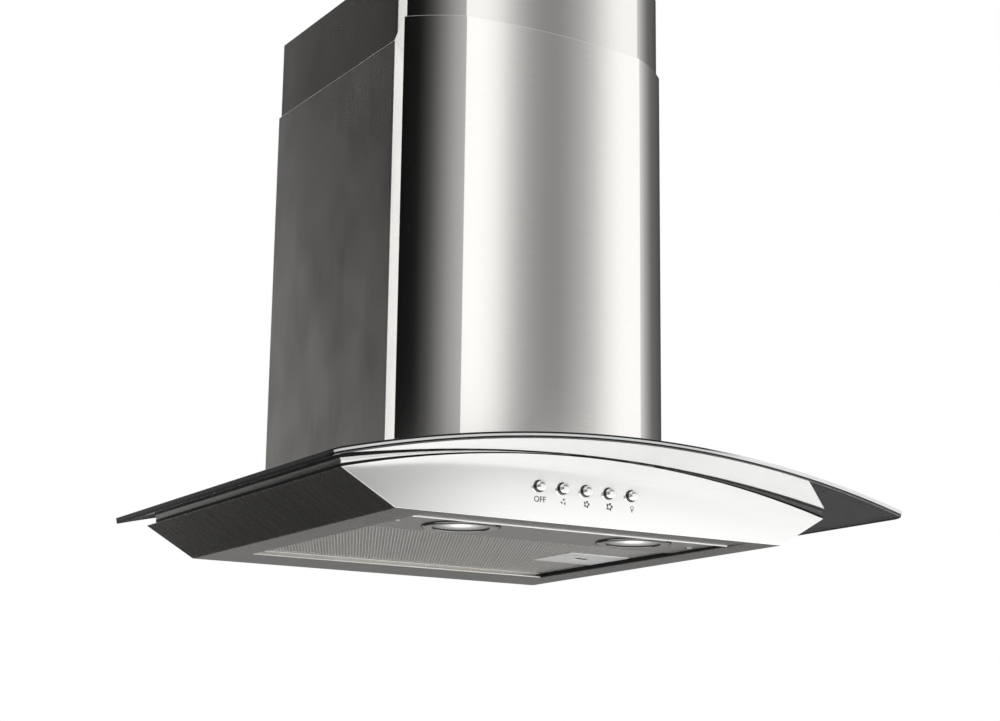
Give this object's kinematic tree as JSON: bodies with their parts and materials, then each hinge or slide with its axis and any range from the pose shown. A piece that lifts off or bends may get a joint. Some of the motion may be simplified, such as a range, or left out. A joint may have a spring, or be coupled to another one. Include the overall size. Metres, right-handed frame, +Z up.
{
  "type": "wall mount range hood",
  "caption": "Wall mount range hood: arched glass canopy over a steel body with lamps, grease filter and push buttons, and a telescopic chimney with a bowed front.",
  "frame": {"origin": "midway between the two wall screws, on the wall plane", "axes": "+X across the hood to its right-hand side as seen from the room, +Y into the wall, +Z up"},
  "size_m": [0.6, 0.515, 0.579],
  "materials": {
    "canopy_steel": "brushed",
    "panel_steel": "bright brushed",
    "canopy_glass": "clear, polished edges",
    "rubber": "matt black",
    "zinc_sheet": "galvanised sheet",
    "plate_steel": "satin",
    "screw_metal": "zinc plated",
    "lamp_chrome": "bright",
    "lamp_glass": "frosted",
    "cup_aluminium": "spun",
    "bulb_glass": "frosted capsule",
    "filter_aluminium": "satin",
    "filter_mesh_metal": "expanded sheet",
    "filter_core_metal": "pleated mesh",
    "handle_steel": "satin",
    "latch_plastic": "matt",
    "button_chrome": "polished",
    "ring_chrome": "polished",
    "black_plastic": "moulded",
    "white_plastic": "moulded",
    "impeller_metal": "pressed",
    "motor_metal": "baked enamel",
    "flap_metal": "sheet",
    "chimney_side_steel": "brushed",
    "chimney_front_steel": "brushed, vertical grain",
    "upper_side_steel": "brushed",
    "upper_front_steel": "brushed, vertical grain"
  },
  "bodies": {
    "hood": {"canopy_shell": "canopy_steel", "front_fascia": "panel_steel", "glass_canopy": "canopy_glass", "glass_seat": "rubber", "glass_clamps": "zinc_sheet", "lamp_plate": "plate_steel", "lamp_plate_screws": "screw_metal", "lamp_ring_left": "lamp_chrome", "lamp_ring_right": "lamp_chrome", "lamp_lens_left": "lamp_glass", "lamp_lens_right": "lamp_glass", "lamp_cup_left": "cup_aluminium", "lamp_cup_right": "cup_aluminium", "lamp_bulb_left": "bulb_glass", "lamp_bulb_right": "bulb_glass", "button_rings": "ring_chrome", "switch_block": "black_plastic", "control_box": "white_plastic", "hanger_plate": "zinc_sheet", "motor_box": "zinc_sheet", "motor_box_back": "zinc_sheet", "motor_box_top": "zinc_sheet", "scroll_wall": "zinc_sheet", "scroll_sides": "zinc_sheet", "inlet_rings": "zinc_sheet", "motor": "motor_metal", "motor_bracket": "zinc_sheet", "motor_capacitor": "white_plastic", "cable_gland": "black_plastic", "collar_flange": "zinc_sheet", "duct_collar": "zinc_sheet", "collar_screws": "screw_metal", "damper_seat": "flap_metal", "damper_rod": "screw_metal", "lower_chimney_sides": "chimney_side_steel", "lower_chimney_front": "chimney_front_steel", "chimney_feet": "zinc_sheet"},
    "upper_chimney": {"upper_chimney_sides": "upper_side_steel", "upper_chimney_front": "upper_front_steel", "upper_bracket": "zinc_sheet"},
    "impeller": {"impeller": "impeller_metal", "motor_shaft": "screw_metal"},
    "filter": {"filter_frame": "filter_aluminium", "filter_mesh": "filter_mesh_metal", "filter_core": "filter_core_metal", "filter_handle": "handle_steel", "filter_pins": "screw_metal"},
    "filter_latch": {"filter_latch": "latch_plastic"},
    "button_off": {"button_off": "button_chrome"},
    "button_low": {"button_low": "button_chrome"},
    "button_mid": {"button_mid": "button_chrome"},
    "button_high": {"button_high": "button_chrome"},
    "button_light": {"button_light": "button_chrome"},
    "damper_front": {"damper_flap_front": "flap_metal"},
    "damper_rear": {"damper_flap_rear": "flap_metal"}
  },
  "joints": [
    {"name": "chimney_slide", "type": "slide", "parent": "hood", "child": "upper_chimney", "axis": [0, 0, 1], "range_m": [-0.07, 0.28]},
    {"name": "impeller_spin", "type": "hinge", "parent": "hood", "child": "impeller", "pos_m": [0, -0.172, 0.16], "axis": [1, 0, 0], "continuous": true},
    {"name": "filter_swing", "type": "hinge", "parent": "hood", "child": "filter", "pos_m": [-0.163, -0.19, -0.02], "axis": [0, 1, 0], "range_deg": [0, 70]},
    {"name": "latch_slide", "type": "slide", "parent": "filter", "child": "filter_latch", "axis": [-1, 0, 0], "range_m": [0, 0.006], "stiffness_N_per_m": 300},
    {"name": "damper_front_lift", "type": "hinge", "parent": "hood", "child": "damper_front", "pos_m": [0, -0.1, 0.277], "axis": [-1, 0, 0], "range_deg": [0, 75]},
    {"name": "damper_rear_lift", "type": "hinge", "parent": "hood", "child": "damper_rear", "pos_m": [0, -0.1, 0.277], "axis": [1, 0, 0], "range_deg": [0, 75]},
    {"name": "button_off_push", "type": "slide", "parent": "hood", "child": "button_off", "axis": [0, 1, 0], "range_m": [0, 0.0025], "stiffness_N_per_m": 600},
    {"name": "button_low_push", "type": "slide", "parent": "hood", "child": "button_low", "axis": [0, 1, 0], "range_m": [0, 0.0025], "stiffness_N_per_m": 600},
    {"name": "button_mid_push", "type": "slide", "parent": "hood", "child": "button_mid", "axis": [0, 1, 0], "range_m": [0, 0.0025], "stiffness_N_per_m": 600},
    {"name": "button_high_push", "type": "slide", "parent": "hood", "child": "button_high", "axis": [0, 1, 0], "range_m": [0, 0.0025], "stiffness_N_per_m": 600},
    {"name": "button_light_push", "type": "slide", "parent": "hood", "child": "button_light", "axis": [0, 1, 0], "range_m": [0, 0.0025], "stiffness_N_per_m": 600}
  ]
}
